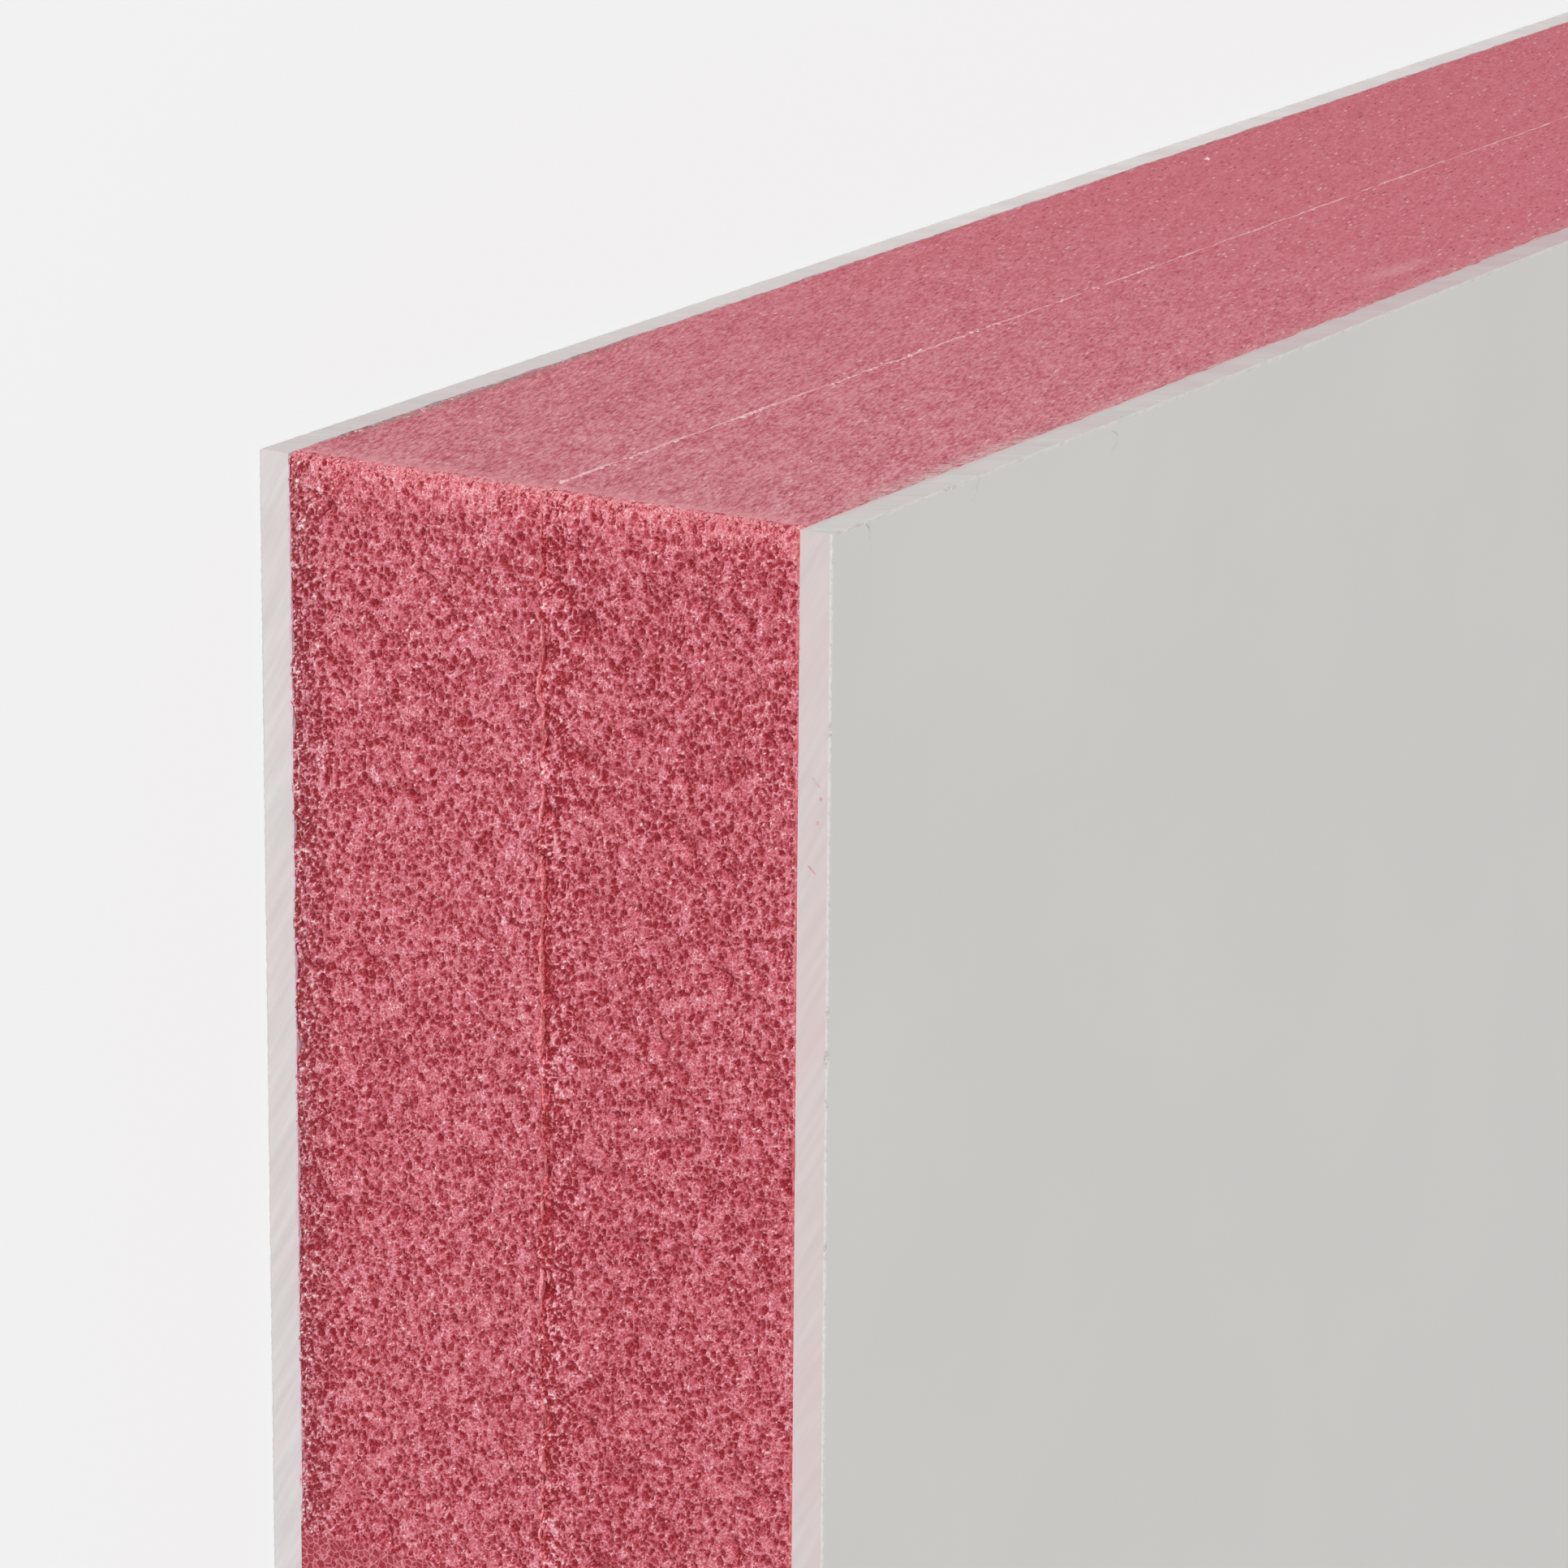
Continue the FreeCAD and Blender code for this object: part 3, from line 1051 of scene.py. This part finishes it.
world = bpy.data.worlds.new("pale_room")
world.use_nodes = True
world.node_tree.nodes.clear()
bpy.context.scene.world = world
lighting = add_node(world, "Background", {"Color": white, "Strength": room_light}).outputs[0]
shown = add_node(world, "Background", {"Color": white, "Strength": background}).outputs[0]
room = add_node(world, "MixShader", {0: seen_directly(world), 1: lighting, 2: shown}).outputs[0]
add_node(world, "OutputWorld", {"Surface": room})

pale = bpy.data.materials.new("pale_floor")
pale.use_nodes = True
pale.node_tree.nodes.clear()
lit = add_node(pale, "BsdfDiffuse", {"Color": (floor_grey, floor_grey, floor_grey, 1)}).outputs[0]
glow = add_node(pale, "Emission", {"Strength": floor_glow}).outputs[0]
shade = add_node(pale, "BsdfDiffuse", {"Color": (floor_shade, floor_shade, floor_shade, 1)}).outputs[0]
shown = add_node(pale, "AddShader", {0: glow, 1: shade}).outputs[0]
surface = add_node(pale, "MixShader", {0: seen_directly(pale), 1: lit, 2: shown}).outputs[0]
add_node(pale, "OutputMaterial", {"Surface": surface})
bm = bmesh.new()
bmesh.ops.create_grid(bm, x_segments=1, y_segments=1, size=floor_size / 2)
mesh = bpy.data.meshes.new("floor")
bm.to_mesh(mesh)
bm.free()
mesh.materials.append(pale)
floor = bpy.data.objects.new("floor", mesh)
bpy.context.scene.collection.objects.link(floor)

lamp_data = bpy.data.lights.new("soft_lamp", "AREA")
lamp_data.energy = lamp_power
lamp_data.shape = "RECTANGLE"
lamp_data.size = lamp_width
lamp_data.size_y = lamp_height
lamp = bpy.data.objects.new("soft_lamp", lamp_data)
bpy.context.scene.collection.objects.link(lamp)
lamp.location = panel_corner + lamp_direction * lamp_distance
lamp.rotation_euler = (-lamp_direction).to_track_quat("-Z", "Y").to_euler()
lamp.visible_camera = False


# Camera: the photograph's viewing angle, close to the corner and turned on its side, since the panel lies
# flat here.
camera_lens = 161.302
camera_sensor = 36
camera_place = (-0.736407, 0.317476, 0.166280)
camera_turn = (-16.588496, -59.163087, 0.827715)
camera_data = bpy.data.cameras.new("camera")
camera_data.lens = camera_lens
camera_data.sensor_width = camera_sensor
camera = bpy.data.objects.new("camera", camera_data)
bpy.context.scene.collection.objects.link(camera)
camera.location = camera_place
camera.rotation_euler = [math.radians(angle) for angle in camera_turn]
bpy.context.scene.camera = camera
bpy.context.scene.view_settings.view_transform = "Standard"
